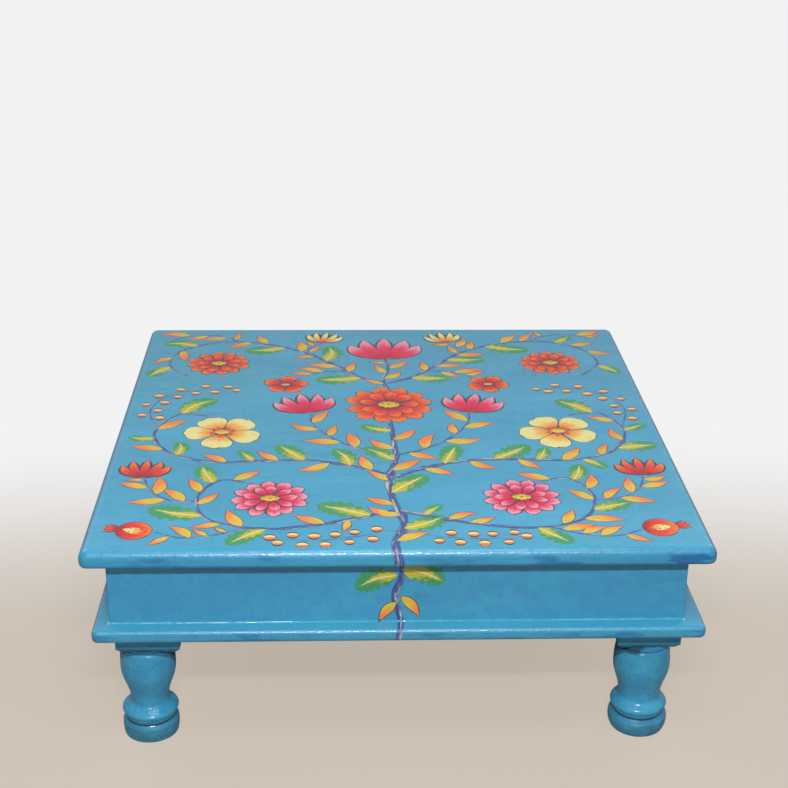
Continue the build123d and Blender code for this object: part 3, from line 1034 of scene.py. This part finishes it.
class BAJOT_OT_paint_bead(bpy.types.Operator):
    """Lay the fillet of paint that gathers where the apron meets the moulding"""

    bl_idname = "bajot.paint_bead"
    bl_label = "Paint Bead"

    STEPS_PER_SIDE = 160
    STEPS_IN_HOLLOW = 6
    SINK = 0.25 * MM

    def execute(self, context):
        chance = random.Random(11)
        sections = []
        for turn in range(4):
            for step in range(self.STEPS_PER_SIDE):
                section = self.section(BEAD_RADIUS * chance.uniform(0.85, 1.30))
                along = 2.0 * step / self.STEPS_PER_SIDE - 1.0
                sections.append([self.spot(turn, along, out, up) for out, up in section])
        mesh = ring_mesh("paint_bead", sections)
        mesh.shade_smooth()
        mesh.set_sharp_from_angle(angle=math.radians(60))
        add_piece(mesh, self.bead_finish(context.scene.bajot_ground))
        return {"FINISHED"}

    @staticmethod
    def bead_finish(ground):
        """The bead's paint: dull, with a few short runs where the varnish shines."""
        finish = Finish("paint_bead")
        place = finish.place()
        shade = finish.noise(place, 45.0, 3.0, 0.6)
        run = finish.noise(finish.stretch(place, (120.0, 120.0, 60.0), (2.0, 5.0, 1.0)), 1.0, 3.0, 0.65)
        x, _, _ = finish.split(place)
        gathered = x.ramp(-90 * MM, -150 * MM) * 0.95 + x.ramp(140 * MM, 200 * MM) * 0.45 + 0.10
        wet = run.ramp(0.45, 0.51) * gathered
        return finish.surface(
            Base_Color=finish.mix(shade.ramp(0.35, 0.70) * 0.4, ground.sea, ground.milk),
            Roughness=0.75 - wet * 0.60,
            Coat_Weight=wet,
            Coat_Roughness=0.08,
            Coat_IOR=2.2,
            Specular_IOR_Level=0.2,
            Normal=finish.bump(finish.noise(place, 170.0) * gathered, 0.9 * MM),
        )

    def section(self, radius):
        """The fillet from the side: a point sunk into the wood, and a hollow quarter round."""
        section = [(APRON_HALF - self.SINK, MOULDING_HIGH.z - self.SINK)]
        for step in range(self.STEPS_IN_HOLLOW + 1):
            angle = math.pi / 2 * step / self.STEPS_IN_HOLLOW
            out, up = radius * (1 - math.cos(angle)), radius * (1 - math.sin(angle))
            section.append((APRON_HALF + out, MOULDING_HIGH.z + up))
        return section

    @staticmethod
    def spot(turn, along, out, up):
        """A point of the ring that runs round the apron, on the side with that number of quarter turns."""
        angle = math.pi / 2 * turn
        x, y = out * along, -out
        return (x * math.cos(angle) - y * math.sin(angle), x * math.sin(angle) + y * math.cos(angle), up)


class BAJOT_OT_pad_bevels(bpy.types.Operator):
    """Build up the bevel round the foot of each pad to a steeper one"""

    bl_idname = "bajot.pad_bevels"
    bl_label = "Pad Bevels"

    # The ring's section, as places out from the pad's side and up from its foot. The last two are
    # sunk into the pad.
    SECTION = (
        (0.0, PAD_BEVEL_UP),
        (-PAD_BEVEL_ACROSS, 0.03 * MM),
        (-9 * MM, 0.03 * MM),
        (-1 * MM, PAD_BEVEL_UP + 0.5 * MM),
    )
    CORNERS = ((1, 1), (-1, 1), (-1, -1), (1, -1))

    def execute(self, context):
        for name in sorted(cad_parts):
            if name.startswith(("pad_front", "pad_back")):
                low, high = (Vector(corner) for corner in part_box(name))
                middle, half = (low + high) / 2, (high.x - low.x) / 2
                sections = []
                for x, y in self.CORNERS:
                    reach = [(half + out, low.z + up) for out, up in self.SECTION]
                    sections.append([(middle.x + x * out, middle.y + y * out, up) for out, up in reach])
                mesh = ring_mesh("bevel_" + name, sections)
                add_piece(mesh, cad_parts[name].data.materials[0])
        return {"FINISHED"}


class BAJOT_OT_flowers(bpy.types.Operator):
    """Paint the flowering tree on the top, in two halves that mirror each other by hand"""

    bl_idname = "bajot.flowers"
    bl_label = "Flowering Tree"

    # All places are in millimetres from the middle of the top, and directions in degrees from
    # +x towards +y. A stem has its points, its half-widths at the root and the tip, the kinds
    # of leaves it bears by turns and the distance between them. A twig of berries has its points
    # and how many it bears, and a flower its kind, paint, place, direction and size.
    TRUNK = ((0, -318), (-4, -290), (6, -250), (-3, -200), (-6, -150), (3, -100), (2, -50), (0, 0))
    CROWN = ((0, 92), (-4, 124), (3, 158), (0, 192))
    LOW = (
        (3, -222), (34, -236), (80, -252), (134, -260),
        (186, -240), (202, -192), (182, -152), (146, -160),
    )
    MIDDLE = (
        (-4, -150), (34, -124), (84, -106), (136, -104), (194, -106),
        (242, -82), (262, -34), (244, 18), (206, 14),
    )
    HIGH = (
        (0, 112), (30, 130), (62, 168), (98, 214), (150, 246),
        (210, 252), (256, 222), (266, 172), (240, 136),
    )
    STEMS = {
        "low": (LOW, 3.0, 1.3, ("green", "amber", "amber"), 23),
        "middle": (MIDDLE, 3.2, 1.3, ("amber", "green"), 24),
        "high": (HIGH, 2.8, 1.3, ("green", "amber", "amber"), 23),
        "inner": (((3, -92), (30, -80), (62, -52), (86, -12), (92, 22)), 2.0, 1.1, ("amber",), 20),
        "outer": (((203, -200), (228, -196), (252, -176), (262, -146)), 1.6, 0.9, ("amber",), 16),
        "corner": (((150, -259), (180, -274), (210, -278), (238, -266)), 1.6, 0.9, ("amber",), 18),
        "back": (((90, 204), (96, 226), (82, 248)), 1.4, 0.9, ("amber",), 14),
        "bud": (((46, 148), (78, 148), (104, 130), (118, 112)), 1.5, 0.9, ("amber",), 16),
        "shoot": (((184, 252), (214, 274), (246, 278), (272, 262)), 1.4, 0.9, ("amber",), 15),
    }
    BERRIES = (
        (((2, -264), (40, -277), (84, -282), (126, -277)), 11),
        (((262, -20), (274, 30), (258, 72), (218, 94), (176, 92)), 13),
    )
    FLOWERS = (
        ("rosette", "pink", (128, -194), 0, 40),
        ("blossom", "cream", (188, -30), 0, 43),
        ("rosette", "red", (207, 178), 0, 39),
        ("blossom", "red", (122, 108), 0, 26),
        ("tulip", "pink", (93, 24), 78, 54),
        ("tulip", "red", (263, -144), 92, 40),
        ("tulip", "cream", (80, 250), 100, 36),
        ("pomegranate", "red", (240, -265), 12, 48),
    )
    # The foot of the trunk on the front, and its leaves: the kind, the side of the stem, the
    # direction, the height and the length.
    FOOT = ((1, 2), (3, -20), (-4, -44), (2, -72), (-1, -101))
    FOOT_LEAVES = (
        ("green", 1, -16, -14, 45),
        ("green", -1, 198, -20, 43),
        ("amber", 1, -48, -44, 29),
        ("amber", -1, 230, -50, 28),
    )
    LEAF_SIZES = {"green": (48, 62), "amber": (29, 41)}
    BERRY_RADIUS = 5.6
    SHAKE = 2.0

    def execute(self, context):
        painter = Painter(TopSheet(), 5)
        painter.rosette("red", Vector((0.0, 46.0)) * MM, 0, 52 * MM)
        painter.tulip("pink", Vector((0.0, 192.0)) * MM, 90, 70 * MM)
        for hand in (1, -1):
            for motif, paint, (x, y), way, size in self.FLOWERS:
                spot = Vector((hand * x, y)) * MM
                getattr(painter, motif)(paint, spot, way if hand > 0 else 180 - way, size * MM)
        trunk = painter.stem(self.TRUNK, 4.6, 2.8, "trunk", 1 * MM)
        crown = painter.stem(self.CROWN, 2.4, 1.5, "crown")
        painter.leaves(trunk, "trunk", ("amber", "green", "amber"), 27, self.LEAF_SIZES, (0.10, 0.96))
        painter.leaves(crown, "crown", ("amber",), 18, self.LEAF_SIZES, (0.15, 0.9))
        for hand in (1, -1):
            self.paint_stems(painter, hand)
        palette = flower_palette(context.scene.bajot_ground)
        for paint, film in painter.films.items():
            film.build("top_" + palette[paint].name, palette[paint], "painted_top")
        self.paint_front(palette)
        return {"FINISHED"}

    def paint_stems(self, painter, hand):
        """The stems of one half, their leaves and the berries."""

        def mirrored(points):
            """The points on this half. On the second one the hand shakes, but a stem's root stays."""
            first, *others = [(hand * x, y) for x, y in points]
            return [first, *(others if hand > 0 else [self.shaken(painter, point) for point in others])]

        spines = {}
        for name, (points, root, tip, kinds, gap) in self.STEMS.items():
            own = f"{name}{hand}"
            spines[own] = (painter.stem(mirrored(points), root, tip, own), kinds, gap)
        for points, count in self.BERRIES:
            painter.berries(mirrored(points), count, self.BERRY_RADIUS)
        for name, (spine, kinds, gap) in spines.items():
            painter.leaves(spine, name, kinds, gap, self.LEAF_SIZES)

    def shaken(self, painter, point):
        """The point moved a little, as a hand moves it."""
        return tuple(part + painter.chance.uniform(-self.SHAKE, self.SHAKE) for part in point)

    def paint_front(self, palette):
        """The foot of the trunk, on the apron and the moulding."""
        painter = Painter(FrontSheet(), 3)
        painter.stem(self.FOOT, 2.6, 3.4, "foot", 0.8 * MM)
        for kind, side, way, up, size in self.FOOT_LEAVES:
            painter.leaf(Vector((side * 2.0, up)) * MM, way, size * MM, kind, 0, 0.06 * side)
        for paint, film in painter.films.items():
            film.build("front_" + palette[paint].name, palette[paint], "painted_apron")


class BAJOT_OT_stage(bpy.types.Operator):
    """Lay the floor, hang the lamps and set up the camera"""

    bl_idname = "bajot.stage"
    bl_label = "Stage"

    def execute(self, context):
        stage = context.scene.bajot_stage
        self.lay_floor(stage)
        self.hang_lamps(context.scene)
        self.fill_room(context.scene)
        self.place_camera(context.scene, stage)
        context.scene.view_settings.view_transform = "Standard"
        return {"FINISHED"}

    def lay_floor(self, stage):
        """A square floor that reaches out of the camera's picture on all sides."""
        reach = 12.0
        mesh = bpy.data.meshes.new("floor")
        corners = [(-reach, -reach, 0.0), (reach, -reach, 0.0), (reach, reach, 0.0), (-reach, reach, 0.0)]
        mesh.from_pydata(corners, [], [(0, 1, 2, 3)])
        mesh.materials.append(self.floor_finish(stage))
        floor = bpy.data.objects.new("floor", mesh)
        bpy.context.scene.collection.objects.link(floor)

    @staticmethod
    def floor_finish(stage):
        """A plain pale finish that fades to white far behind, and shows the camera part of each shadow."""
        white = (0.90, 0.90, 0.91)
        # The light that comes back from it is browner than what the camera sees.
        bounced = (0.40, 0.36, 0.32)
        finish = Finish("floor")
        x, y, _ = finish.split(finish.place())
        far = (y + abs(x) * 0.15).ramp(-0.05, 0.55).above(((x * x + y * y) ** 0.5).ramp(0.80, 2.00))
        colour = finish.mix(far, stage.floor, white)
        seen = finish.node("ShaderNodeLightPath", output="Is Camera Ray")
        finish.surface(Base_Color=finish.mix(seen, bounced, colour), Roughness=0.7)
        glow = finish.node("ShaderNodeEmission", None, {"Color": colour, "Strength": 1.0})
        share_seen = seen * (far * 0.22 + 0.76)
        lit = Value(finish, finish.shader.outputs["BSDF"])
        blend = finish.node("ShaderNodeMixShader", None, {0: share_seen, 1: lit, 2: glow})
        finish.feed(finish.tree.nodes["Material Output"].inputs["Surface"], blend)
        return finish.material

    @staticmethod
    def hang_lamps(scene):
        """A wide lamp above the camera and a longer faint one, a soft one over the front, two behind."""
        target = Vector((0.0, 0.0, 0.15))
        # Each lamp has its place, its width and depth, and its power.
        lamps = {
            "key_lamp": ((-0.03, -1.50, 1.28), (0.50, 0.10), 16.8),
            "long_lamp": ((-0.03, -1.50, 1.28), (1.40, 0.06), 4.4),
            "high_lamp": ((0.05, -0.75, 1.60), (0.90, 0.50), 7.0),
            "left_back_lamp": ((-1.6, 1.5, 1.9), (1.2, 1.2), 13.0),
            "right_back_lamp": ((1.6, 1.5, 1.9), (1.2, 1.2), 13.0),
        }
        for name, (place, (width, depth), watts) in lamps.items():
            light = bpy.data.lights.new(name, "AREA")
            light.shape = "ELLIPSE"
            light.size = width
            light.size_y = depth
            light.energy = watts
            lamp = bpy.data.objects.new(name, light)
            lamp.location = place
            lamp.rotation_mode = "QUATERNION"
            lamp.rotation_quaternion = (target - Vector(place)).to_track_quat("-Z", "Y")
            scene.collection.objects.link(lamp)

    @staticmethod
    def fill_room(scene):
        """Even pale light from all round, which the camera and the varnish see brighter than it shines."""
        world = bpy.data.worlds.new("room")
        world.use_nodes = True
        scene.world = world
        nodes, links = world.node_tree.nodes, world.node_tree.links
        background = nodes["Background"]
        background.inputs["Color"].default_value = (0.97, 0.98, 1.0, 1.0)
        rays = nodes.new("ShaderNodeLightPath")
        strength = None
        for ray, glow in (("Is Glossy Ray", 0.66), ("Is Transmission Ray", 0.90), ("Is Camera Ray", 0.93)):
            choice = nodes.new("ShaderNodeMix")
            choice.inputs["A"].default_value = 0.145
            choice.inputs["B"].default_value = glow
            links.new(rays.outputs[ray], choice.inputs["Factor"])
            if strength:
                links.new(strength, choice.inputs["A"])
            strength = choice.outputs["Result"]
        links.new(strength, background.inputs["Strength"])

    @staticmethod
    def place_camera(scene, stage):
        """The camera in front of the table, a little above it."""
        pitch, yaw, roll = (math.radians(angle) for angle in (22.79, 2.292, 0.716))
        camera_data = bpy.data.cameras.new("camera")
        camera_data.sensor_width = 36.0
        camera_data.lens = stage.lens
        camera = bpy.data.objects.new("camera", camera_data)
        camera.location = (-0.057, -1.529, 0.9097)
        turn = Euler((0.0, 0.0, -yaw)).to_matrix()
        tilt = Euler((math.pi / 2 - pitch, 0.0, 0.0)).to_matrix()
        lean = Euler((0.0, 0.0, roll)).to_matrix()
        camera.rotation_euler = (turn @ tilt @ lean).to_euler()
        scene.collection.objects.link(camera)
        scene.camera = camera


class BAJOT_PT_panel(bpy.types.Panel):
    """Lists the steps that paint and light the bajot"""

    bl_idname = "BAJOT_PT_panel"
    bl_label = "Painted Bajot"
    bl_space_type = "VIEW_3D"
    bl_region_type = "UI"
    bl_category = "Bajot"

    def draw(self, context):
        for step in STEPS:
            self.layout.operator(step.bl_idname)
        for group in SETTINGS:
            box = self.layout.box()
            for name in getattr(context.scene, group).bl_rna.properties.keys():
                if name not in ("rna_type", "name"):
                    box.prop(getattr(context.scene, group), name)


STEPS = (
    BAJOT_OT_paint_ground,
    BAJOT_OT_bare_wood,
    BAJOT_OT_metal,
    BAJOT_OT_paint_bead,
    BAJOT_OT_pad_bevels,
    BAJOT_OT_flowers,
    BAJOT_OT_stage,
)


def register():
    """Makes the settings, steps and panel known to Blender."""
    for group in (*SETTINGS.values(), *STEPS, BAJOT_PT_panel):
        bpy.utils.register_class(group)
    for name, group in SETTINGS.items():
        setattr(bpy.types.Scene, name, bpy.props.PointerProperty(type=group))


def unregister():
    """Takes them away again."""
    for name in SETTINGS:
        delattr(bpy.types.Scene, name)
    for group in reversed((*SETTINGS.values(), *STEPS, BAJOT_PT_panel)):
        bpy.utils.unregister_class(group)


def main():
    """Takes every step in order."""
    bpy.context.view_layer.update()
    register()
    for step in STEPS:
        area, name = step.bl_idname.split(".")
        getattr(getattr(bpy.ops, area), name)()


if __name__ == "__main__":
    main()
